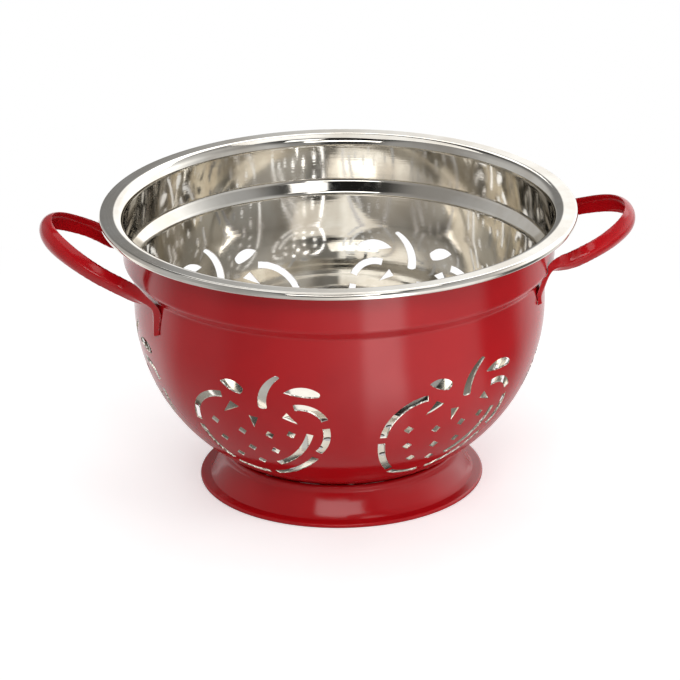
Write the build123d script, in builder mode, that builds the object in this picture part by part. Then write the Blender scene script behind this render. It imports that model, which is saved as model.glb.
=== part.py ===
from build123d import *
from math import asin, cos, degrees, radians, sin, tan
import os

os.makedirs("parts", exist_ok=True)

# Colander on a ring foot: a deep-drawn steel bowl with a rolled rim and a
# berry stencil pierced round its side, two pressed strip handles and a
# flared foot, all held by spot welds. Millimetres, +Z up, the origin on
# the table under the middle of the foot, the handles along X.

# Bowl: the side is an arc that ends upright at the wall, then a shoulder
# widens it to the neck under the flat rim with its rolled bead. The floor
# is flattened a little above the lowest point that the arc would reach.
sheet = 0.8
bowl_radius = 103.5
bowl_curve_radius = 89.5
floor_height = 13.0
floor_flattening = 6.5
floor_blend_radius = 12.0
wall_height = 18.0
shoulder_height = 5.4
shoulder_width = 4.8
shoulder_blend_radius = 3.6
neck_height = 24.6
rim_width = 11.7
rim_corner_radius = 4.8
bead_radius = 2.0
bead_turn_angle = 265

# Drain holes in rings round the middle of the floor
drain_hole_diameter = 5.0
drain_ring_spacing = 12.0
drain_ring_count = 3
drain_holes_per_ring_step = 6

# Berry stencil pierced through the side of the bowl
berry_count = 6
berry_tilt_angle = 25
berry_half_width = 36.0
berry_half_height = 36.0
slot_width = 3.4
seed_width = 5.0
seed_height = 5.2
seed_lean_angle = 12
pierce_start = 3.0
pierce_reach = 24.0

# Foot ring: a seat flange under the bowl, an upright collar, a flared skirt
# and a lip hemmed under to a flat face
foot_sheet = 0.8
foot_collar_radius = 59.6
foot_collar_height = 4.4
foot_collar_blend_radius = 6.0
foot_seat_width = 7.6
foot_seat_blend_radius = 1.2
foot_skirt_flare = 7.4
foot_skirt_blend_radius = 1.0
foot_lip_width = 5.0
foot_lip_height = 2.4
foot_hem_width = 3.6

# Spot welds that bridge the gap between two sheets
weld_gap = 0.3
foot_weld_diameter = 4.0
foot_weld_count = 8
foot_weld_inset = 4.1
tab_weld_diameter = 3.2
tab_weld_shares = (0.25, 0.65)

# Handles: a crowned strip bent to a loop that rises outwards from the wall.
# Beside the loop each end turns a quarter round and lies down the wall as a
# tab. Set by hand, the right loop starts higher on the wall and rises less,
# and its tabs stand closer together.
left_root_lift = -2.0
right_root_lift = 4.1
left_rise_angle = 30
right_rise_angle = 20.2
left_tab_flare = 11.5
right_tab_flare = 6.0
left_bend_flare = 8.5
right_bend_flare = 5.6
strip_width = 10.8
root_strip_width = 9.6
strip_crown = 3.5
strip_gauge = 1.1
strip_edge = 0.9
handle_reach = 47.0
handle_half_spread = 32.1
handle_standoff = 0.6
root_bend_standoff = 5.9
root_bend_lift = 3.8
tab_drop = 15.7
tab_top_drop = 2.8
tab_crown = 2.0
tab_hollow = 0.15
tab_end_width = 5.6
tab_offset = 0.1
tab_top_offset = 1.0
tab_bend_share = 0.72
tab_taper_share = 0.045
twist_start_share = 0.069
twist_end_share = 0.218
crest_start_share = 0.24
crest_end_share = 0.44
handle_section_count = 65

# Outline of the handle loop from its root to its tip, as shares of the reach
# and of the half spread
loop_shares = [(0.26, 1.02), (0.45, 1.0), (0.64, 0.89), (0.81, 0.70), (0.935, 0.45), (1.0, 0.0)]

# Half of the strip's crown from its edge to its top, as shares of the half
# width from the middle and of the crown: rounded at the tip of the loop, and
# pinched to a crest towards its roots
round_crown_shares = [(0.823, 0.609), (0.433, 1.0)]
crest_crown_shares = [(0.66, 0.38), (0.20, 1.0)]

# Outline of the berry in shares of its half width and half height, seen from
# outside. Each dash is the start, middle and end of an arc.
dash_shares = [
    [(-0.475, 0.565), (-0.865, 0.34), (-0.985, -0.10)],
    [(-0.98, -0.22), (-0.885, -0.50), (-0.645, -0.855)],
    [(-0.605, -0.935), (-0.345, -1.015), (-0.13, -1.01)],
    [(-0.02, -0.995), (0.365, -0.785), (0.71, -0.47)],
    [(0.785, -0.345), (0.945, -0.10), (0.98, 0.125)],
    [(0.60, 0.51), (0.815, 0.475), (0.985, 0.265)],
    [(0.75, 0.04), (0.555, -0.30), (0.135, -0.66)],
]
wedge_shares = [
    [(-0.34, 0.50), (-0.21, 0.435), (-0.475, 0.28)],
    [(-0.08, 0.32), (0.06, 0.305), (-0.03, 0.11)],
    [(0.49, 0.425), (0.415, 0.34), (0.625, 0.23)],
]
seed_shares = [
    (-0.67, 0.045), (-0.24, -0.01), (0.175, 0.0), (0.49, 0.035),
    (-0.60, -0.29), (-0.17, -0.345), (0.185, -0.335),
    (-0.435, -0.60), (-0.115, -0.655),
]
# Leaves and stalk: every second point is a corner, and the curve between two
# corners passes through the point that stands between them.
leaf_and_stalk_shares = [
    [(-0.475, 0.77), (-0.30, 0.83), (-0.115, 0.74), (-0.13, 0.685), (-0.175, 0.645), (-0.34, 0.685)],
    [(0.475, 0.735), (0.70, 0.815), (0.955, 0.715), (0.965, 0.675), (0.935, 0.645), (0.69, 0.675)],
    [(0.09, 0.495), (0.165, 0.80), (0.375, 0.975), (0.41, 0.97), (0.435, 0.945), (0.265, 0.75),
     (0.22, 0.485), (0.155, 0.47)],
]

# Worked out from the sizes above
half_sheet = sheet / 2
curve_end_height = floor_height - floor_flattening + bowl_curve_radius
shoulder_start_height = curve_end_height + wall_height
shoulder_end_height = shoulder_start_height + shoulder_height
neck_radius = bowl_radius + shoulder_width
rim_height = shoulder_end_height + neck_height
rim_radius = neck_radius + rim_width
wall_mid_radius = bowl_radius - half_sheet
neck_mid_radius = neck_radius - half_sheet
rim_mid_height = rim_height - half_sheet
floor_mid_height = floor_height + half_sheet
curve_mid_radius = bowl_curve_radius - half_sheet
curve_centre_distance = bowl_radius - bowl_curve_radius
bead_centre_radius = rim_radius - bead_radius
bead_centre_height = rim_height - bead_radius
bead_mid_radius = bead_radius - half_sheet
pierce_depth = pierce_start + pierce_reach
seed_corners = [(-seed_width / 2, 0), (0, -seed_height / 2), (seed_width / 2, 0), (0, seed_height / 2)]
clear_radius = bowl_radius + weld_gap
clear_curve_radius = bowl_curve_radius + weld_gap
clear_neck_radius = neck_radius + weld_gap
foot_half_sheet = foot_sheet / 2
foot_seat_inner_radius = foot_collar_radius - foot_seat_width
foot_skirt_radius = foot_collar_radius + foot_skirt_flare
foot_radius = foot_skirt_radius + foot_lip_width
foot_weld_radius = foot_collar_radius - foot_weld_inset
foot_collar_mid_radius = foot_collar_radius - foot_half_sheet
foot_lip_mid_height = foot_lip_height - foot_half_sheet
foot_hem_centre_radius = foot_radius - foot_lip_height / 2
tab_top_height = shoulder_start_height - tab_top_drop
left_root_height = shoulder_start_height + left_root_lift
right_root_height = shoulder_start_height + right_root_lift
left_bend_spread = handle_half_spread + left_bend_flare
right_bend_spread = handle_half_spread + right_bend_flare
left_tab_angle = degrees(asin((handle_half_spread + left_tab_flare) / bowl_radius))
right_tab_angle = degrees(asin((handle_half_spread + right_tab_flare) / bowl_radius))


def curve_point(radius, tilt):
    """Point on an arc about the centre of the bowl's curve, tilt degrees below level."""
    across = curve_centre_distance + radius * cos(radians(tilt))
    return (across, curve_end_height - radius * sin(radians(tilt)))


def curve_distance(radius, height):
    """Distance from the axis at which such an arc reaches a height."""
    drop = curve_end_height - height
    return curve_centre_distance + (radius**2 - drop**2) ** 0.5


def curve_height(radius, distance):
    """Height at which such an arc reaches a distance from the axis."""
    across = distance - curve_centre_distance
    return curve_end_height - (radius**2 - across**2) ** 0.5


def seat_point(radius, distance):
    """Point on such an arc at a distance from the axis."""
    return (distance, curve_height(radius, distance))


def soften(line, point, radius):
    """Round the corner of a line that stands at a point."""
    fillet(line.vertices().sort_by_distance(point)[0], radius)


def berry_point(share):
    """Place in the berry's plane of a point given in shares."""
    return (share[0] * berry_half_width, share[1] * berry_half_height)


def berry_planes():
    """Planes that touch the side of the bowl, one for each berry, lifted off it."""
    across, up = curve_point(bowl_curve_radius, berry_tilt_angle)
    planes = []
    for number in range(berry_count):
        turn = 360 * number / berry_count
        outward = Vector(1, 0, 0).rotate(Axis.Z, turn)
        touching = Plane(
            origin=outward * across + Vector(0, 0, up),
            x_dir=Vector(0, 1, 0).rotate(Axis.Z, turn),
            z_dir=outward * cos(radians(berry_tilt_angle)) - Vector(0, 0, sin(radians(berry_tilt_angle))),
        )
        planes.append(touching.offset(pierce_start))
    return planes


# Bowl
with BuildPart() as bowl:
    with BuildSketch(Plane.XZ):
        with BuildLine() as bowl_line:
            floor_edge = (curve_distance(curve_mid_radius, floor_mid_height), floor_mid_height)
            wall_foot = (wall_mid_radius, curve_end_height)
            shoulder_start = (wall_mid_radius, shoulder_start_height)
            shoulder_end = (neck_mid_radius, shoulder_end_height)
            rim_corner = (neck_mid_radius, rim_mid_height)
            Line((0, floor_mid_height), floor_edge)
            ThreePointArc(floor_edge, curve_point(curve_mid_radius, berry_tilt_angle), wall_foot)
            Line(wall_foot, shoulder_start)
            Line(shoulder_start, shoulder_end)
            Line(shoulder_end, rim_corner)
            Line(rim_corner, (bead_centre_radius, rim_mid_height))
            soften(bowl_line, floor_edge, floor_blend_radius)
            soften(bowl_line, shoulder_start, shoulder_blend_radius)
            soften(bowl_line, shoulder_end, shoulder_blend_radius)
            soften(bowl_line, rim_corner, rim_corner_radius + half_sheet)
            CenterArc((bead_centre_radius, bead_centre_height), bead_mid_radius, 90, -bead_turn_angle)
        trace(line_width=sheet)
    revolve(axis=Axis.Z)
    # Stencil
    with BuildSketch(*berry_planes()):
        with BuildLine():
            for start, middle, end in dash_shares:
                ThreePointArc(berry_point(start), berry_point(middle), berry_point(end))
        trace(line_width=slot_width)
        for corners in wedge_shares:
            with BuildLine():
                Polyline([berry_point(corner) for corner in corners], close=True)
            make_face()
        for outline in leaf_and_stalk_shares:
            points = [berry_point(share) for share in outline + outline[:1]]
            with BuildLine():
                for corner in range(0, len(outline), 2):
                    ThreePointArc(points[corner], points[corner + 1], points[corner + 2])
            make_face()
        with Locations([berry_point(share) for share in seed_shares]):
            Polygon(seed_corners, rotation=seed_lean_angle)
    extrude(amount=-pierce_depth, mode=Mode.SUBTRACT)
    # Drain holes
    with BuildSketch(Plane.XY.offset(floor_height)):
        Circle(drain_hole_diameter / 2)
        for ring in range(1, drain_ring_count + 1):
            with PolarLocations(ring * drain_ring_spacing, ring * drain_holes_per_ring_step):
                Circle(drain_hole_diameter / 2)
    extrude(amount=sheet, mode=Mode.SUBTRACT)
bowl.part.label = "bowl"
export_step(bowl.part, "parts/bowl.step")

# Space round the bowl that every sheet laid on it keeps clear of
with BuildPart() as bowl_clearance:
    with BuildSketch(Plane.XZ):
        with BuildLine() as clearance_line:
            clear_bottom = (0, curve_height(clear_curve_radius, 0))
            clear_wall_foot = (clear_radius, curve_end_height)
            clear_shoulder_start = (clear_radius, shoulder_start_height)
            clear_shoulder_end = (clear_neck_radius, shoulder_end_height)
            clear_side = curve_point(clear_curve_radius, berry_tilt_angle)
            ThreePointArc(clear_bottom, clear_side, clear_wall_foot)
            Line(clear_wall_foot, clear_shoulder_start)
            Line(clear_shoulder_start, clear_shoulder_end)
            Line(clear_shoulder_end, (clear_neck_radius, rim_height))
            soften(clearance_line, clear_shoulder_start, shoulder_blend_radius)
            soften(clearance_line, clear_shoulder_end, shoulder_blend_radius)
            Line((clear_neck_radius, rim_height), (0, rim_height))
            Line((0, rim_height), clear_bottom)
        make_face()
    revolve(axis=Axis.Z)

# Foot ring
with BuildPart() as foot_ring:
    with BuildSketch(Plane.XZ):
        with BuildLine() as foot_line:
            seat_radius = clear_curve_radius + foot_half_sheet
            seat_start = seat_point(seat_radius, foot_seat_inner_radius)
            seat_middle = seat_point(seat_radius, (foot_seat_inner_radius + foot_collar_mid_radius) / 2)
            seat_end = seat_point(seat_radius, foot_collar_mid_radius)
            collar_foot = (foot_collar_mid_radius, seat_end[1] - foot_collar_height)
            skirt_foot = (foot_skirt_radius - foot_half_sheet, foot_lip_mid_height)
            lip_edge = (foot_hem_centre_radius, foot_lip_mid_height)
            ThreePointArc(seat_start, seat_middle, seat_end)
            Line(seat_end, collar_foot)
            Line(collar_foot, skirt_foot)
            Line(skirt_foot, lip_edge)
            soften(foot_line, seat_end, foot_seat_blend_radius)
            soften(foot_line, collar_foot, foot_collar_blend_radius)
            soften(foot_line, skirt_foot, foot_skirt_blend_radius)
            hem_side = (foot_radius - foot_half_sheet, foot_lip_height / 2)
            hem_start = (foot_hem_centre_radius, foot_half_sheet)
            ThreePointArc(lip_edge, hem_side, hem_start)
            Line(hem_start, (foot_hem_centre_radius - foot_hem_width, foot_half_sheet))
        trace(line_width=foot_sheet)
    revolve(axis=Axis.Z)
foot_ring.part.label = "foot_ring"
export_step(foot_ring.part, "parts/foot_ring.step")

# Spot welds of the foot ring, each filling the gap between bowl and seat
with BuildPart() as foot_welds:
    with Locations((0, 0, curve_height(bowl_curve_radius, foot_weld_radius))):
        with PolarLocations(foot_weld_radius, foot_weld_count):
            Cylinder(foot_weld_diameter / 2, foot_radius - foot_weld_radius)
    with BuildSketch(Plane.XZ):
        with BuildLine():
            inner_start = seat_point(bowl_curve_radius, foot_seat_inner_radius)
            inner_end = seat_point(bowl_curve_radius, foot_collar_radius)
            outer_start = seat_point(clear_curve_radius, foot_seat_inner_radius)
            outer_end = seat_point(clear_curve_radius, foot_collar_radius)
            RadiusArc(inner_start, inner_end, -bowl_curve_radius)
            Line(inner_end, outer_end)
            RadiusArc(outer_end, outer_start, clear_curve_radius)
            Line(outer_start, inner_start)
        make_face()
    revolve(axis=Axis.Z, mode=Mode.INTERSECT)
foot_welds.part.label = "foot_welds"
export_step(foot_welds.part, "parts/foot_welds.step")


def wall_distance(spread):
    """Distance along X of the wall's outside at a distance from the handles' middle."""
    return (bowl_radius**2 - spread**2) ** 0.5


def tab_height(share, root_height):
    """Height on a tab at a share of the way from its low end to its top."""
    low_height = root_height - tab_drop
    return low_height + share * (tab_top_height - low_height)


def tab_point(share, offset, turn, root_height):
    """Point behind a tab that stands at a turn from the middle of the loop."""
    out = Vector(bowl_radius + offset, 0, 0).rotate(Axis.Z, turn)
    return out + Vector(0, 0, tab_height(share, root_height))


def bend_point(spread, root_height):
    """Point on the bend where the loop turns down into a tab."""
    distance = wall_distance(spread) + root_bend_standoff
    return Vector(distance, spread, root_height + root_bend_lift)


def loop_point(shares, side, root_height, rise):
    """Point on the loop in shares of its reach and its half spread."""
    reach = shares[0] * handle_reach
    distance = wall_distance(handle_half_spread) + handle_standoff + reach
    height = root_height + reach * tan(radians(rise))
    return Vector(distance, side * shares[1] * handle_half_spread, height)


def handle_half(side, root_height, rise, bend_spread, tab_angle):
    """Points of one half of a handle, from the end of its tab to its tip."""
    turn = side * tab_angle
    tab = [
        tab_point(0, tab_offset, turn, root_height),
        tab_point(tab_bend_share, tab_offset, turn, root_height),
        tab_point(1, tab_top_offset, turn, root_height),
    ]
    loop = [loop_point(shares, side, root_height, rise) for shares in loop_shares]
    return tab + [bend_point(side * bend_spread, root_height)] + loop


def crown_half(half_width, crown, crest):
    """Bezier points of half of a crown, on the left (-) or right (+) of the middle."""
    points = [(half_width, 0)]
    for (round_out, round_up), (crest_out, crest_up) in zip(round_crown_shares, crest_crown_shares):
        out = round_out + (crest_out - round_out) * crest
        up = round_up + (crest_up - round_up) * crest
        points.append((half_width * out, crown * up))
    return points + [(0, crown)]


def eased(share):
    """Smooth step from 0 to 1."""
    held = min(max(share, 0), 1)
    return held * held * (3 - 2 * held)


def handle_strip(root_height, rise, bend_spread, tab_angle):
    """Handle on the right, a hollow crowned section carried along its line."""
    with BuildPart() as strip:
        front_half = handle_half(-1, root_height, rise, bend_spread, tab_angle)
        back_half = handle_half(1, root_height, rise, bend_spread, tab_angle)
        with BuildLine(mode=Mode.PRIVATE) as path:
            Spline(front_half + back_half[-2::-1])
        line = path.edges()[0]
        upright = Vector(-sin(radians(rise)), 0, cos(radians(rise)))
        for number in range(handle_section_count):
            along = number / (handle_section_count - 1)
            from_end = min(along, 1 - along)
            side = -1 if along < 0.5 else 1
            twist = 1 - eased((from_end - twist_start_share) / (twist_end_share - twist_start_share))
            crest = 1 - eased((from_end - crest_start_share) / (crest_end_share - crest_start_share))
            taper = sin(radians(90 * min(from_end / tab_taper_share, 1)))
            full_width = strip_width + (root_strip_width - strip_width) * crest
            half_width = (tab_end_width + (full_width - tab_end_width) * taper) / 2
            crown = strip_crown + (tab_crown - strip_crown) * twist
            hollow = (strip_crown - strip_gauge) * (1 - twist) + tab_hollow * twist
            forward = line.tangent_at(along)
            sideways = Vector(0, side, 0).rotate(Axis.Z, side * tab_angle)
            turned = upright * cos(radians(90 * twist)) + sideways * sin(radians(90 * twist))
            across = (turned - forward * turned.dot(forward)).normalized()
            with BuildSketch(Plane(origin=line.position_at(along), x_dir=across, z_dir=forward)):
                with BuildLine():
                    Bezier(crown_half(-half_width, crown, crest))
                    Bezier(crown_half(half_width, crown, crest)[::-1])
                    Line((half_width, 0), (half_width - strip_edge, 0))
                    Bezier(crown_half(half_width - strip_edge, hollow, crest))
                    Bezier(crown_half(strip_edge - half_width, hollow, crest)[::-1])
                    Line((strip_edge - half_width, 0), (-half_width, 0))
                make_face()
        loft()
        add(bowl_clearance.part, mode=Mode.SUBTRACT)
    return strip.part


def tab_welds(turn, root_height):
    """Spot welds under one tab, turned to its place round the bowl."""
    outward = Vector(1, 0, 0).rotate(Axis.Z, turn)
    from_axis = (Align.CENTER, Align.CENTER, Align.MIN)
    with BuildPart() as welds:
        for share in tab_weld_shares:
            with Locations(Plane(origin=Vector(0, 0, tab_height(share, root_height)), z_dir=outward)):
                Cylinder(tab_weld_diameter / 2, clear_neck_radius, align=from_axis)
        with BuildSketch():
            Circle(clear_radius)
            Circle(bowl_radius, mode=Mode.SUBTRACT)
        extrude(amount=rim_height, mode=Mode.INTERSECT)
    return welds.part


# Right handle
with BuildPart() as handle_right:
    add(handle_strip(right_root_height, right_rise_angle, right_bend_spread, right_tab_angle))
handle_right.part.label = "handle_right"
export_step(handle_right.part, "parts/handle_right.step")

# Left handle, the same pressing on the other side of the bowl
with BuildPart() as handle_left:
    left_strip = handle_strip(left_root_height, left_rise_angle, left_bend_spread, left_tab_angle)
    mirror(left_strip, about=Plane.YZ)
handle_left.part.label = "handle_left"
export_step(handle_left.part, "parts/handle_left.step")

# Spot welds of the tabs, each filling the gap between bowl and tab
tab_places = {
    "handle_right_front_welds": (-right_tab_angle, right_root_height),
    "handle_right_back_welds": (right_tab_angle, right_root_height),
    "handle_left_front_welds": (180 + left_tab_angle, left_root_height),
    "handle_left_back_welds": (180 - left_tab_angle, left_root_height),
}
for name, (turn, root_height) in tab_places.items():
    welds = tab_welds(turn, root_height)
    welds.label = name
    export_step(welds, f"parts/{name}.step")
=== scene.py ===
import bpy
from math import acos, asin, atan2, cos, pi, radians, sin, sqrt, tan
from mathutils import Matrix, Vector, kdtree


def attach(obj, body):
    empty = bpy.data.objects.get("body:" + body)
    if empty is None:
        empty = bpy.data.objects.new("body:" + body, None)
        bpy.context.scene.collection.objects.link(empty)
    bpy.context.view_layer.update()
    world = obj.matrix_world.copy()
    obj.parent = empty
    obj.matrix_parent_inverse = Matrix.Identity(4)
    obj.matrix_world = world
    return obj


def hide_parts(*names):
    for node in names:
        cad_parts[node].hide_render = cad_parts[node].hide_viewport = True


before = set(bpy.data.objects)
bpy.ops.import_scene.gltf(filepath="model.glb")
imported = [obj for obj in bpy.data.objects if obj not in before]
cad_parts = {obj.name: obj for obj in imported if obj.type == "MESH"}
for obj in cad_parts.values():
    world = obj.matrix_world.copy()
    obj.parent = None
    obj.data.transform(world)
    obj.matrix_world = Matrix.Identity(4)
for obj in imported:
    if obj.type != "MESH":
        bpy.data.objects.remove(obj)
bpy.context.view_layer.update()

# BOWL
# One sheet of stainless steel, 0.8 mm thick, deep drawn and pierced with the
# berry stencil and the drain holes. The inside, the rim and every cut edge are
# left polished, and the outside is sprayed red up to the rolled bead.

# Vertices nearer to each other than this are one
merge_reach = 0.000002


def copied_from_cad(node_name, piece_name):
    """A piece of its own with the node's shape, its loose triangles merged."""
    bpy.ops.object.select_all(action="DESELECT")
    piece = bpy.data.objects.new(piece_name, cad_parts[node_name].data.copy())
    bpy.context.scene.collection.objects.link(piece)
    piece.data.materials.clear()
    piece.select_set(True)
    bpy.context.view_layer.objects.active = piece
    bpy.ops.object.mode_set(mode="EDIT")
    bpy.ops.mesh.select_all(action="SELECT")
    bpy.ops.mesh.remove_doubles(threshold=merge_reach)
    bpy.ops.object.mode_set(mode="OBJECT")
    return piece


bowl = copied_from_cad("bowl", "bowl_shell")

# The section of the drawn sheet along its middle: points every few hundredths
# of a millimetre, each with the way that its skin faces
wall_middle = 0.1031
neck_middle = 0.1079
curve_centre = (0.014, 0.096)
curve_middle = 0.0891
floor_middle = 0.0134
floor_blend = 0.012
shoulder_low = 0.114
shoulder_high = 0.1194
shoulder_blend = 0.0036
rim_middle = 0.1436
rim_corner = 0.0052
bead_centre = (0.118, 0.142)
bead_middle = 0.0016
bead_end = -175
section_step = 0.00003
section = []


def straight(start, end):
    """Adds a straight stretch of the section, facing to the right of its run."""
    run = Vector(end) - Vector(start)
    facing = Vector((run.y, -run.x)).normalized()
    count = max(1, round(run.length / section_step))
    for step in range(count + 1):
        section.append((Vector(start) + run * step / count, facing))


def rounded(centre, radius, start, end, outward=True):
    """Adds an arc of the section between two angles in degrees."""
    count = max(1, round(radius * radians(abs(end - start)) / section_step))
    for step in range(count + 1):
        angle = radians(start + (end - start) * step / count)
        away = Vector((cos(angle), sin(angle)))
        section.append((Vector(centre) + away * radius, away if outward else -away))


# The blend between the floor and the curved side
blend_height = floor_middle + floor_blend
blend_drop = curve_centre[1] - blend_height
blend_away = curve_middle - floor_blend
blend_centre = (curve_centre[0] + sqrt(blend_away**2 - blend_drop**2), blend_height)
blend_end = -90 + acos(blend_drop / blend_away) * 180 / pi

# The leaning shoulder between the wall and the neck, with a blend at each end
slope = atan2(shoulder_high - shoulder_low, neck_middle - wall_middle)
lean = pi / 2 - slope
setback = shoulder_blend * (1 - cos(lean)) / sin(lean)
low_start = shoulder_low - setback
high_end = shoulder_high + setback
along = Vector((cos(slope), sin(slope)))
low_end = Vector((wall_middle, shoulder_low)) + along * setback
high_start = Vector((neck_middle, shoulder_high)) - along * setback
lean_degrees = lean * 180 / pi

# From the middle of the floor up to the end of the rolled bead
straight((0, floor_middle), (blend_centre[0], floor_middle))
rounded(blend_centre, floor_blend, -90, blend_end)
rounded(curve_centre, curve_middle, blend_end, 0)
straight((wall_middle, curve_centre[1]), (wall_middle, low_start))
low_centre = (wall_middle + shoulder_blend, low_start)
rounded(low_centre, shoulder_blend, 180, 180 - lean_degrees, outward=False)
straight(low_end, high_start)
rounded((neck_middle - shoulder_blend, high_end), shoulder_blend, -lean_degrees, 0)
straight((neck_middle, high_end), (neck_middle, rim_middle - rim_corner))
rim_centre = (neck_middle + rim_corner, rim_middle - rim_corner)
rounded(rim_centre, rim_corner, 180, 90, outward=False)
straight((neck_middle + rim_corner, rim_middle), (bead_centre[0], rim_middle))
rounded(bead_centre, bead_middle, 90, bead_end, outward=False)
section_tree = kdtree.KDTree(len(section))
for number, (place, facing) in enumerate(section):
    section_tree.insert((place.x, place.y, 0), number)
section_tree.balance()
on_axis = 0.00001


def section_facing(corner):
    """Unit vector square to the middle of the sheet next to a corner of the mesh."""
    across = sqrt(corner.x**2 + corner.y**2)
    number = section_tree.find((across, corner.z, 0))[1]
    facing = section[number][1]
    if across < on_axis:
        return Vector((0, 0, facing.y))
    return Vector((facing.x * corner.x / across, facing.x * corner.y / across, facing.y))


# Every skin face shades as the smooth drawn sheet, and cut edges keep their
# corners. A face is skin where it lies along the sheet, by the cosine between
# them. The paint ends on the underside of the bead, at paint_reach.
corner_angle = radians(35)
skin_cosine = 0.8
paint_reach = 0.1182
bpy.ops.object.shade_smooth_by_angle(angle=corner_angle)
shell = bowl.data
corner_facings = [Vector(normal.vector) for normal in shell.corner_normals]
facings = [section_facing(vertex.co) for vertex in shell.vertices]
for face in shell.polygons:
    side = face.normal.dot(facings[face.vertices[0]])
    cut = abs(side) < skin_cosine
    if not cut:
        for loop in face.loop_indices:
            smooth = facings[shell.loops[loop].vertex_index]
            corner_facings[loop] = smooth if side > 0 else -smooth
    farthest = max(shell.vertices[number].co.xy.length for number in face.vertices)
    face.material_index = 1 if not cut and side > 0 and farthest < paint_reach else 0
shell.normals_split_custom_set(corner_facings)


def new_material(name):
    """A material, its node tree and its shader."""
    material = bpy.data.materials.new(name)
    material.use_nodes = True
    tree = material.node_tree
    return material, tree, tree.nodes["Principled BSDF"]


def set_or_link(tree, value, socket):
    """Gives a socket a number, or links another socket to it."""
    if isinstance(value, (int, float)):
        socket.default_value = value
    else:
        tree.links.new(value, socket)


def new_group(name, inputs, outputs):
    """A node group with named inputs and outputs, and the nodes that carry them."""
    group = bpy.data.node_groups.new(name, "ShaderNodeTree")
    for title, kind, value in inputs:
        socket = group.interface.new_socket(title, in_out="INPUT", socket_type=kind)
        socket.default_value = value
    for title, kind in outputs:
        group.interface.new_socket(title, in_out="OUTPUT", socket_type=kind)
    return group, group.nodes.new("NodeGroupInput"), group.nodes.new("NodeGroupOutput")


def maths(tree, operation, first, second=None):
    """Adds a Math node of one or two inputs, of which the second may be a number."""
    made = tree.nodes.new("ShaderNodeMath")
    made.operation = operation
    tree.links.new(first, made.inputs[0])
    if second is not None:
        set_or_link(tree, second, made.inputs[1])
    return made.outputs[0]


def noise(tree, vector, scale, detail=3.0, roughness=0.5):
    """Adds a Noise texture and gives its value."""
    made = tree.nodes.new("ShaderNodeTexNoise")
    made.inputs["Detail"].default_value = detail
    made.inputs["Roughness"].default_value = roughness
    tree.links.new(vector, made.inputs["Vector"])
    set_or_link(tree, scale, made.inputs["Scale"])
    return made.outputs["Fac"]


def between(tree, value, low, high, to_low=0.0, to_high=1.0):
    """Spreads a value from one range to another, with a soft start and end."""
    made = tree.nodes.new("ShaderNodeMapRange")
    made.interpolation_type = "SMOOTHSTEP"
    tree.links.new(value, made.inputs["Value"])
    made.inputs["From Min"].default_value = low
    made.inputs["From Max"].default_value = high
    made.inputs["To Min"].default_value = to_low
    made.inputs["To Max"].default_value = to_high
    return made.outputs["Result"]


def blended(tree, factor, first, second):
    """Adds a Mix node for colours, whose colour sockets are its inputs 6 and 7."""
    made = tree.nodes.new("ShaderNodeMix")
    made.data_type = "RGBA"
    for number, value in ((0, factor), (6, first), (7, second)):
        tree.links.new(value, made.inputs[number])
    return made.outputs[2]


# What both effects put out
effect_outputs = [
    ("Colour", "NodeSocketColor"),
    ("Roughness", "NodeSocketFloat"),
    ("Height", "NodeSocketFloat"),
]

# Steel: fine rings from turning and polishing, cloudy wipe marks, faint tint
steel_group, steel_in, steel_out = new_group(
    "ring polished steel",
    [
        ("Light Steel", "NodeSocketColor", (0.80, 0.78, 0.75, 1)),
        ("Warm Steel", "NodeSocketColor", (0.66, 0.62, 0.57, 1)),
        ("Polish", "NodeSocketFloat", 0.10),
        ("Ring Scale", "NodeSocketFloat", 900.0),
        ("Ring Depth", "NodeSocketFloat", 0.10),
    ],
    effect_outputs,
)
place = steel_group.nodes.new("ShaderNodeTexCoord").outputs["Object"]
apart = steel_group.nodes.new("ShaderNodeSeparateXYZ")
steel_group.links.new(place, apart.inputs[0])
turn = maths(steel_group, "ARCTAN2", apart.outputs[1], apart.outputs[0])
squares = maths(
    steel_group, "ADD",
    maths(steel_group, "MULTIPLY", apart.outputs[0], apart.outputs[0]),
    maths(steel_group, "MULTIPLY", apart.outputs[1], apart.outputs[1]),
)
distance_out = maths(steel_group, "SQRT", squares)
travel = maths(steel_group, "SUBTRACT", apart.outputs[2], distance_out)
# A turn round the bowl crosses little of the noise, which draws it out to rings
ring_stretch = 0.004
ring_place = steel_group.nodes.new("ShaderNodeCombineXYZ")
steel_group.links.new(maths(steel_group, "MULTIPLY", turn, ring_stretch), ring_place.inputs[0])
steel_group.links.new(travel, ring_place.inputs[1])
rings = noise(steel_group, ring_place.outputs[0], steel_in.outputs["Ring Scale"], detail=2.0)
clouds = noise(steel_group, place, scale=28.0, detail=4.0, roughness=0.6)
smears = noise(steel_group, place, scale=160.0, roughness=0.55)
colour = blended(
    steel_group, between(steel_group, clouds, 0.35, 0.68),
    steel_in.outputs["Light Steel"], steel_in.outputs["Warm Steel"],
)
steel_group.links.new(colour, steel_out.inputs["Colour"])
dulled = between(steel_group, clouds, 0.35, 0.75, to_high=0.05)
smeared = between(steel_group, smears, 0.5, 0.75, to_high=0.04)
worn = maths(steel_group, "ADD", steel_in.outputs["Polish"], dulled)
worn = maths(steel_group, "ADD", worn, smeared)
steel_group.links.new(worn, steel_out.inputs["Roughness"])
ring_height = maths(steel_group, "MULTIPLY", rings, steel_in.outputs["Ring Depth"])
steel_group.links.new(ring_height, steel_out.inputs["Height"])


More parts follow.
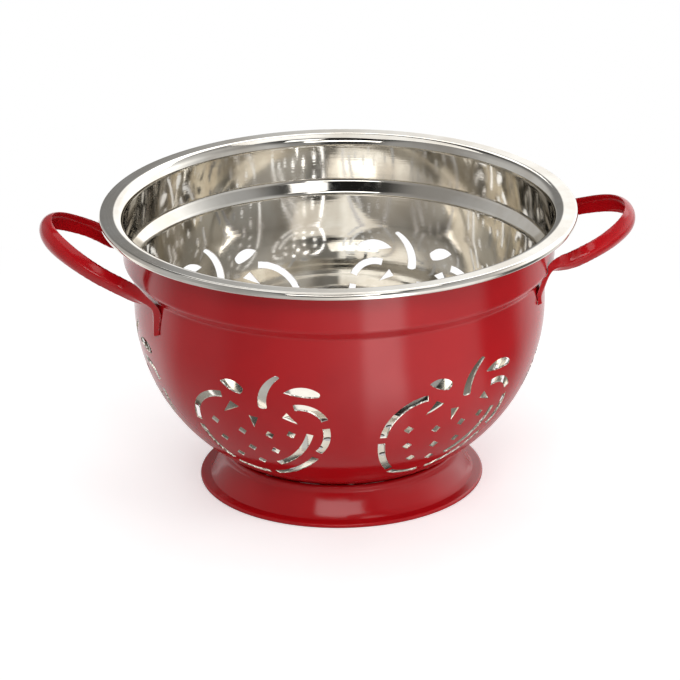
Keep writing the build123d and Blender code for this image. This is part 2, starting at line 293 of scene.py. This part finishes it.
def finish_from(name, effect_group, settings, bump_reach):
    """A material with its own values of an effect, and the shader to go on with."""
    material, tree, shader = new_material(name)
    effect = tree.nodes.new("ShaderNodeGroup")
    effect.node_tree = effect_group
    for title, value in settings.items():
        effect.inputs[title].default_value = value
    bump = tree.nodes.new("ShaderNodeBump")
    bump.inputs["Strength"].default_value = 1.0
    bump.inputs["Distance"].default_value = bump_reach
    tree.links.new(effect.outputs["Height"], bump.inputs["Height"])
    tree.links.new(effect.outputs["Colour"], shader.inputs["Base Color"])
    tree.links.new(effect.outputs["Roughness"], shader.inputs["Roughness"])
    tree.links.new(bump.outputs["Normal"], shader.inputs["Normal"])
    return material, shader


light_steel = (0.79, 0.765, 0.71, 1)
warm_steel = (0.67, 0.625, 0.555, 1)


def steel_finish(name, polish, ring_scale, ring_depth, bump_reach):
    """A polished steel material with its own values of the steel effect."""
    settings = {
        "Light Steel": light_steel,
        "Warm Steel": warm_steel,
        "Polish": polish,
        "Ring Scale": ring_scale,
        "Ring Depth": ring_depth,
    }
    material, shader = finish_from(name, steel_group, settings, bump_reach)
    shader.inputs["Metallic"].default_value = 1.0
    return material


# Enamel: sprayed stove paint, with orange peel and slightly uneven cover
enamel_group, enamel_in, enamel_out = new_group(
    "sprayed enamel",
    [
        ("Full Red", "NodeSocketColor", (0.42, 0.012, 0.016, 1)),
        ("Thin Red", "NodeSocketColor", (0.34, 0.008, 0.012, 1)),
        ("Gloss", "NodeSocketFloat", 0.20),
        ("Peel Scale", "NodeSocketFloat", 420.0),
        ("Peel Depth", "NodeSocketFloat", 0.5),
    ],
    effect_outputs,
)
place = enamel_group.nodes.new("ShaderNodeTexCoord").outputs["Object"]
cover = noise(enamel_group, place, scale=20.0)
peel = noise(enamel_group, place, enamel_in.outputs["Peel Scale"], detail=1.5)
colour = blended(
    enamel_group, between(enamel_group, cover, 0.35, 0.7),
    enamel_in.outputs["Full Red"], enamel_in.outputs["Thin Red"],
)
enamel_group.links.new(colour, enamel_out.inputs["Colour"])
shine = maths(
    enamel_group, "ADD",
    enamel_in.outputs["Gloss"], between(enamel_group, cover, 0.3, 0.75, to_high=0.06),
)
enamel_group.links.new(shine, enamel_out.inputs["Roughness"])
peel_height = maths(enamel_group, "MULTIPLY", peel, enamel_in.outputs["Peel Depth"])
enamel_group.links.new(peel_height, enamel_out.inputs["Height"])
full_red = (0.50, 0.006, 0.010, 1)
thin_red = (0.44, 0.005, 0.009, 1)
peel_reach = 0.00004
enamel_ior = 1.42


def enamel_finish(name, gloss, peel_scale, peel_depth):
    """A red enamel material with its own values of the enamel effect."""
    settings = {
        "Full Red": full_red,
        "Thin Red": thin_red,
        "Gloss": gloss,
        "Peel Scale": peel_scale,
        "Peel Depth": peel_depth,
    }
    material, shader = finish_from(name, enamel_group, settings, peel_reach)
    shader.inputs["IOR"].default_value = enamel_ior
    return material


bowl_steel = steel_finish(
    "polished steel of the bowl", polish=0.045, ring_scale=900.0, ring_depth=0.9, bump_reach=0.00001
)
bowl_enamel = enamel_finish("red enamel on the bowl", gloss=0.13, peel_scale=420.0, peel_depth=0.2)
bowl.data.materials.append(bowl_steel)
bowl.data.materials.append(bowl_enamel)
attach(bowl, "root")
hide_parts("bowl")

# FOOT RING
# A pressed steel ring with a seat that follows the bowl, an upright collar, a
# flared skirt and a hemmed lip. It is sprayed red all over before it is welded.
foot = copied_from_cad("foot_ring", "foot_ring_shell")

# The inner edge of the seat is sprung up against the bowl, which shuts most of
# the gap that the spot welds leave
seat_gap = 0.0003
shut_share = 0.95
sprung_reach = 0.0532
sprung_width = 0.0009
above_skirt = 0.006
for vertex in foot.data.vertices:
    across = sqrt(vertex.co.x**2 + vertex.co.y**2)
    pressed = min(max((sprung_reach - across) / sprung_width, 0), 1)
    if pressed > 0 and vertex.co.z > above_skirt:
        inward = Vector((curve_centre[0] - across, curve_centre[1] - vertex.co.z)).normalized()
        moved = across + inward.x * seat_gap * shut_share * pressed
        vertex.co.x *= moved / across
        vertex.co.y *= moved / across
        vertex.co.z += inward.y * seat_gap * shut_share * pressed
bpy.ops.object.shade_smooth_by_angle(angle=corner_angle)
foot_enamel = enamel_finish("red enamel on the foot", gloss=0.13, peel_scale=420.0, peel_depth=0.2)
foot.data.materials.append(foot_enamel)
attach(foot, "root")
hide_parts("foot_ring")

# FOOT WELDS
# Eight spot welds round the seat of the foot ring, where the sheets are fused
# together: small discs of bare steel between the two skins.
weld_steel = steel_finish(
    "steel of the spot welds", polish=0.35, ring_scale=1500.0, ring_depth=0.6, bump_reach=0.00002
)
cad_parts["foot_welds"].data.materials.clear()
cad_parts["foot_welds"].data.materials.append(weld_steel)

# HANDLES
# Two strips of steel pressed to a crowned section, bent to a loop, twisted at
# each end into a tab that lies down the wall, and sprayed red all over.
handle_enamel = enamel_finish(
    "red enamel on the handles", gloss=0.12, peel_scale=500.0, peel_depth=0.1
)

# The line of the strip: a loop with its reach and spread as shares, a bend, and
# a tab with places by their share of its height and their distance off the wall
wall_outside = 0.1035
loop_half_spread = 0.0321
loop_standoff = 0.0006
loop_reach = 0.047
loop_turns = [(0.26, 1.02), (0.45, 1.0), (0.64, 0.89), (0.81, 0.70), (0.935, 0.45), (1.0, 0.0)]
bend_standoff = 0.0059
bend_lift = 0.0038
tab_drop = 0.0157
tab_top = 0.1112
tab_places = [(0.0, 0.0001), (0.72, 0.0001), (1.0, 0.001)]
line_steps = 40

# The section of the strip, and where along its length it changes, in shares of
# that length from either end: it turns a quarter round, it rises to a crest, and
# it tapers to the end of the tab
tab_width = 0.0056
loop_width = 0.0108
root_width = 0.0096
strip_edge = 0.0009
loop_crown = 0.0035
loop_hollow = 0.0024
tab_crown = 0.002
tab_hollow = 0.00015
round_crown = [(0.823, 0.609), (0.433, 1.0)]
crest_crown = [(0.66, 0.38), (0.20, 1.0)]
crown_steps = 14
twist_start = 0.069
twist_run = 0.149
crest_start = 0.24
crest_run = 0.2
taper_run = 0.045


def smooth_run(points):
    """Places and ways along a smooth line through points, and their share of its length."""
    spans = [(after - before).length for before, after in zip(points, points[1:])]
    slopes = [(after - before) / span for before, after, span in zip(points, points[1:], spans)]
    # The way of the line at its two ends, from a curve through four points
    ways = []
    for run, steps in ((slopes, spans), (slopes[::-1], spans[::-1])):
        second = [(run[n + 1] - run[n]) / (steps[n] + steps[n + 1]) for n in range(2)]
        third = (second[1] - second[0]) / (steps[0] + steps[1] + steps[2])
        ways.append(run[0] - second[0] * steps[0] + third * steps[0] * (steps[0] + steps[1]))
    # The ways at the points between, for a line that bends evenly through them
    last = len(points) - 1
    factors, rests = [0.0], [ways[0]]
    for n in range(1, last):
        known = (slopes[n - 1] * spans[n] + slopes[n] * spans[n - 1]) * 3
        weight = 2 * (spans[n - 1] + spans[n]) - spans[n] * factors[n - 1]
        factors.append(spans[n - 1] / weight)
        rests.append((known - rests[n - 1] * spans[n]) / weight)
    tangents = [ways[1]]
    for n in range(last - 1, -1, -1):
        tangents.append(rests[n] - tangents[-1] * factors[n])
    tangents.reverse()
    run = []
    for n in range(last):
        for step in range(line_steps):
            t = step / line_steps
            place = (
                points[n] * (2 * t**3 - 3 * t**2 + 1)
                + tangents[n] * (spans[n] * (t**3 - 2 * t**2 + t))
                + points[n + 1] * (3 * t**2 - 2 * t**3)
                + tangents[n + 1] * (spans[n] * (t**3 - t**2))
            )
            way = (
                (points[n + 1] - points[n]) * (6 * t - 6 * t**2) / spans[n]
                + tangents[n] * (3 * t**2 - 4 * t + 1)
                + tangents[n + 1] * (3 * t**2 - 2 * t)
            )
            run.append((place, way.normalized()))
    run.append((points[last], tangents[last].normalized()))
    travelled = [0.0]
    for before, after in zip(run, run[1:]):
        travelled.append(travelled[-1] + (after[0] - before[0]).length)
    return [(place, way, far / travelled[-1]) for (place, way), far in zip(run, travelled)]


def eased(share):
    """Smooth step from 0 to 1."""
    held = min(max(share, 0), 1)
    return held * held * (3 - 2 * held)


def crown_run(half_width, crown, crest):
    """Points across a crown from one edge to the other, as a Bezier curve each side."""
    (first_out, first_up), (second_out, second_up) = [
        (soft[0] + (sharp[0] - soft[0]) * crest, soft[1] + (sharp[1] - soft[1]) * crest)
        for soft, sharp in zip(round_crown, crest_crown)
    ]
    half = []
    for step in range(crown_steps + 1):
        t = step / crown_steps
        first, second = 3 * t * (1 - t) ** 2, 3 * t * t * (1 - t)
        out = (1 - t) ** 3 + first * first_out + second * second_out
        up = first * first_up + second * second_up + t**3
        half.append((out * half_width, up * crown))
    return [(-out, up) for out, up in half] + half[-2::-1]


def strip_skins(root_height, rise, bend_spread, tab_spread, mirrored):
    """Tree of places on both skins of a bent strip, and the way each of them faces."""
    tab_turn = asin(tab_spread / wall_outside)
    wall_place = sqrt(wall_outside**2 - loop_half_spread**2) + loop_standoff
    halves = []
    for end in (-1, 1):
        half = []
        for share, offset in tab_places:
            height = root_height - tab_drop + share * (tab_top - root_height + tab_drop)
            out = wall_outside + offset
            half.append(Vector((out * cos(tab_turn), end * out * sin(tab_turn), height)))
        bend_out = sqrt(wall_outside**2 - bend_spread**2) + bend_standoff
        half.append(Vector((bend_out, end * bend_spread, root_height + bend_lift)))
        for reach_share, spread_share in loop_turns:
            reach = reach_share * loop_reach
            spread = end * spread_share * loop_half_spread
            half.append(Vector((wall_place + reach, spread, root_height + reach * tan(rise))))
        halves.append(half)
    upright = Vector((-sin(rise), 0, cos(rise)))
    rows = []
    for place, way, along in smooth_run(halves[0] + halves[1][-2::-1]):
        from_end = min(along, 1 - along)
        end = -1 if along < 0.5 else 1
        twist = 1 - eased((from_end - twist_start) / twist_run)
        crest = 1 - eased((from_end - crest_start) / crest_run)
        taper = sin(pi / 2 * min(from_end / taper_run, 1))
        full_width = loop_width + (root_width - loop_width) * crest
        half_width = (tab_width + (full_width - tab_width) * taper) / 2
        crown = loop_crown + (tab_crown - loop_crown) * twist
        hollow = loop_hollow * (1 - twist) + tab_hollow * twist
        sideways = Vector((-sin(tab_turn), end * cos(tab_turn), 0))
        turned = upright * cos(pi / 2 * twist) + sideways * sin(pi / 2 * twist)
        across = (turned - way * turned.dot(way)).normalized()
        up = way.cross(across)
        row = []
        for skin in (
            crown_run(half_width, crown, crest),
            crown_run(half_width - strip_edge, hollow, crest),
        ):
            row.append([place + across * out + up * lift for out, lift in skin])
        rows.append((*row, up))
    places, facings = [], []
    for before, row, after in zip(rows, rows[1:], rows[2:]):
        for skin, sign in ((0, 1), (1, -1)):
            for n in range(1, 2 * crown_steps):
                over = row[skin][n + 1] - row[skin][n - 1]
                ahead = after[skin][n] - before[skin][n]
                facing = over.cross(ahead).normalized()
                if facing.dot(row[2]) < 0:
                    facing = -facing
                facing = facing * sign
                place = row[skin][n].copy()
                if mirrored:
                    place.x, facing.x = -place.x, -facing.x
                places.append(place)
                facings.append(facing)
    tree = kdtree.KDTree(len(places))
    for number, place in enumerate(places):
        tree.insert(place, number)
    tree.balance()
    return tree, facings


# The paint rounds every edge of the strip, so the copy is remeshed and smoothed,
# and its skins shine as the smooth pressed section. Where a vertex faces another
# way than the section, at a rounded edge, it shines by itself.
voxel_size = 0.0003
smoothing = 0.5
smoothing_rounds = 8
skin_start = 0.82
skin_run = 0.13
for side, root_height, rise, bend_spread, tab_spread in (
    ("left", 0.112, radians(30), 0.0406, 0.0436),
    ("right", 0.1181, radians(20.2), 0.0377, 0.0381),
):
    handle = copied_from_cad("handle_" + side, "handle_" + side + "_strip")
    handle.data.remesh_voxel_size = voxel_size
    bpy.ops.object.voxel_remesh()
    smooth = handle.modifiers.new("rounded by the paint", "SMOOTH")
    smooth.factor = smoothing
    smooth.iterations = smoothing_rounds
    bpy.ops.object.modifier_apply(modifier=smooth.name)
    bpy.ops.object.shade_smooth()
    tree, skin_facings = strip_skins(root_height, rise, bend_spread, tab_spread, side == "left")
    shines = []
    for vertex in handle.data.vertices:
        skin_facing = skin_facings[tree.find(vertex.co)[1]]
        own = vertex.normal.copy()
        share = eased((own.dot(skin_facing) - skin_start) / skin_run)
        shines.append((own * (1 - share) + skin_facing * share).normalized())
    handle.data.normals_split_custom_set_from_vertices(shines)
    handle.data.materials.append(handle_enamel)
    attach(handle, "root")
    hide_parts("handle_" + side)

# HANDLE WELDS
# Two spot welds under each of the four tabs, which hold the handles to the wall.
for side in ("left", "right"):
    for end in ("front", "back"):
        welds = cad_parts["handle_" + side + "_" + end + "_welds"]
        welds.data.materials.clear()
        welds.data.materials.append(weld_steel)

# FLOOR, LIGHT AND CAMERA
# A pale sweep, on which glossy rays see painted reflections of bright patches and dark gaps, a
# white studio that metal sees as well, six soft lamps, and the camera above the rim and a little to
# the left of the middle.
bpy.ops.object.select_all(action="DESELECT")
bpy.ops.mesh.primitive_grid_add(x_subdivisions=8, y_subdivisions=8, size=8, location=(0, 0, 0))
floor = bpy.context.object
floor.name = "studio_floor"
floor_paint, tree, shader = new_material("pale floor")
shader.inputs["Base Color"].default_value = (0.86, 0.86, 0.86, 1)
shader.inputs["Roughness"].default_value = 0.9
place = tree.nodes.new("ShaderNodeTexCoord").outputs["Object"]
length = tree.nodes.new("ShaderNodeVectorMath")
length.operation = "LENGTH"
tree.links.new(place, length.inputs[0])

# Seen straight, the floor is a little lifted round the object and white far off
floor_lift = 0.45
far = between(tree, length.outputs["Value"], 0.09, 0.38)
seen = tree.nodes.new("ShaderNodeLightPath")
lift = tree.nodes.new("ShaderNodeEmission")
lifting = maths(tree, "MULTIPLY", seen.outputs["Is Camera Ray"], floor_lift)
tree.links.new(lifting, lift.inputs["Strength"])
lifted = tree.nodes.new("ShaderNodeAddShader")
tree.links.new(shader.outputs[0], lifted.inputs[0])
tree.links.new(lift.outputs[0], lifted.inputs[1])
white = tree.nodes.new("ShaderNodeEmission")
white.inputs["Strength"].default_value = 1.0
mixed = tree.nodes.new("ShaderNodeMixShader")
tree.links.new(maths(tree, "MULTIPLY", far, seen.outputs["Is Camera Ray"]), mixed.inputs[0])
tree.links.new(lifted.outputs[0], mixed.inputs[1])
tree.links.new(white.outputs[0], mixed.inputs[2])

# Painted reflection: glossy paint and steel see the floor glow by its own emission, in painted
# bright patches and dark gaps round the object, by their turn from the left of the object over the
# front
painted_reflection_end_level = 0.13
painted_reflection_levels = [
    (0.032, 0.13), (0.065, 0.15), (0.096, 0.09), (0.15, 0.12), (0.206, 0.18), (0.23, 0.24),
    (0.262, 0.36), (0.272, 0.90), (0.314, 0.90), (0.326, 0.30), (0.43, 0.26), (0.447, 0.04),
    (0.505, 0.04), (0.535, 0.20), (0.56, 0.25), (0.90, 0.28), (0.95, 0.34),
]
painted_reflection_strength = 4.0
apart = tree.nodes.new("ShaderNodeSeparateXYZ")
tree.links.new(place, apart.inputs[0])
turn = maths(tree, "ARCTAN2", apart.outputs[1], apart.outputs[0])
share = maths(tree, "ADD", maths(tree, "DIVIDE", turn, 2 * pi), 0.5)
painted_reflection_ramp = tree.nodes.new("ShaderNodeValToRGB")
tree.links.new(share, painted_reflection_ramp.inputs["Fac"])
for stop in painted_reflection_ramp.color_ramp.elements:
    stop.color = (painted_reflection_end_level, painted_reflection_end_level, painted_reflection_end_level, 1)
for position, level in painted_reflection_levels:
    stop = painted_reflection_ramp.color_ramp.elements.new(position)
    stop.color = (level, level, level, 1)
painted_reflection_glow = tree.nodes.new("ShaderNodeEmission")
painted_reflection_light = maths(tree, "MULTIPLY", painted_reflection_ramp.outputs["Color"], painted_reflection_strength)
tree.links.new(painted_reflection_light, painted_reflection_glow.inputs["Strength"])
# Close to the object glossy rays still see the plain floor and its shadow; farther off they see the
# painted reflection
chosen = tree.nodes.new("ShaderNodeMixShader")
painted_reflection_mask = between(tree, length.outputs["Value"], 0.08, 0.25)
tree.links.new(maths(tree, "MULTIPLY", painted_reflection_mask, seen.outputs["Is Glossy Ray"]), chosen.inputs[0])
tree.links.new(mixed.outputs[0], chosen.inputs[1])
tree.links.new(painted_reflection_glow.outputs[0], chosen.inputs[2])
tree.links.new(chosen.outputs[0], tree.nodes["Material Output"].inputs["Surface"])
floor.data.materials.append(floor_paint)

# The room: white where it is seen straight, pale as light, and for glossy paint
# and steel a studio that is bright behind at the right, and darker at the left,
# in front and overhead
world = bpy.data.worlds.new("white studio")
bpy.context.scene.world = world
world.use_nodes = True
tree = world.node_tree
room = tree.nodes["Background"]
room.inputs["Color"].default_value = (1, 1, 1, 1)
room.inputs["Strength"].default_value = 0.32
backdrop = tree.nodes.new("ShaderNodeBackground")
backdrop.inputs["Color"].default_value = (1, 1, 1, 1)
backdrop.inputs["Strength"].default_value = 1.0
studio = tree.nodes.new("ShaderNodeBackground")
seen = tree.nodes.new("ShaderNodeLightPath")
direction = tree.nodes.new("ShaderNodeTexCoord").outputs["Generated"]
apart = tree.nodes.new("ShaderNodeSeparateXYZ")
tree.links.new(direction, apart.inputs[0])
sweep = between(tree, apart.outputs[0], 0.02, 0.13, to_low=0.31, to_high=1.65)
front = between(tree, apart.outputs[1], -0.35, 0.25, to_low=0.22, to_high=1.0)
ceiling = between(tree, apart.outputs[2], 0.45, 0.8, to_low=1.0, to_high=0.22)
sides = between(tree, maths(tree, "ABSOLUTE", apart.outputs[0]), 0.3, 0.55, to_high=0.4)
glow = maths(tree, "MULTIPLY", maths(tree, "MULTIPLY", sweep, front), ceiling)
tree.links.new(maths(tree, "ADD", glow, sides), studio.inputs["Strength"])
first = tree.nodes.new("ShaderNodeMixShader")
tree.links.new(seen.outputs["Is Glossy Ray"], first.inputs[0])
tree.links.new(room.outputs[0], first.inputs[1])
tree.links.new(studio.outputs[0], first.inputs[2])
second = tree.nodes.new("ShaderNodeMixShader")
straight_sight = maths(
    tree, "MAXIMUM", seen.outputs["Is Camera Ray"], seen.outputs["Is Transmission Ray"]
)
tree.links.new(straight_sight, second.inputs[0])
tree.links.new(first.outputs[0], second.inputs[1])
tree.links.new(backdrop.outputs[0], second.inputs[2])
tree.links.new(second.outputs[0], tree.nodes["World Output"].inputs["Surface"])


def soft_lamp(name, place, target, width, height, power):
    """A rectangular soft lamp that faces a point."""
    lamp = bpy.data.lights.new(name, "AREA")
    lamp.shape = "RECTANGLE"
    lamp.size = width
    lamp.size_y = height
    lamp.energy = power
    holder = bpy.data.objects.new(name, lamp)
    holder.location = place
    holder.rotation_euler = (Vector(target) - Vector(place)).to_track_quat("-Z", "Y").to_euler()
    bpy.context.scene.collection.objects.link(holder)
    return holder


# The wide lamp and the fill lamp light the paint but aren't mirrored in it
middle = (0, 0, 0.07)
back_of_rim = (0, 0.1, 0.12)
soft_lamp("lamp in front", (-0.1675, -1.239, 1.126), middle, 1.06, 0.36, 4.3)
wide_lamp = soft_lamp("wide lamp in front", (-0.15, -1.11, 1.2), middle, 0.9, 0.7, 2.9)
wide_lamp.visible_glossy = False
soft_lamp("lamp high in front", (0.259, -0.629, 1.32), back_of_rim, 0.34, 0.4, 0.8)
soft_lamp("lamp behind", (0.47, 1.13, 1.10), middle, 1.4, 0.5, 3.7)
soft_lamp("lamp above", (-0.1, 0.3, 1.9), middle, 1.6, 1.6, 9)
fill_lamp = soft_lamp("fill lamp at the right", (1.44, -0.60, 0.43), middle, 1.0, 0.55, 7)
fill_lamp.visible_glossy = False

# A long lens on a full frame, from the photograph's height and side
look_height = 0.0724
camera_distance = 2.4
camera_rise = radians(21.87)
camera_turn = radians(4.6)
camera_roll = radians(-0.72)
camera = bpy.data.objects.new("camera", bpy.data.cameras.new("camera"))
bpy.context.scene.collection.objects.link(camera)
camera.location = (
    -camera_distance * cos(camera_rise) * sin(camera_turn),
    -camera_distance * cos(camera_rise) * cos(camera_turn),
    look_height + camera_distance * sin(camera_rise),
)
aim = Vector((0, 0, look_height)) - camera.location
camera.rotation_euler = aim.to_track_quat("-Z", "Y").to_euler()
camera.rotation_euler.rotate_axis("Z", camera_roll)
camera.data.sensor_width = 36
camera.data.lens = 251.0
bpy.context.scene.camera = camera
bpy.context.scene.view_settings.view_transform = "Standard"
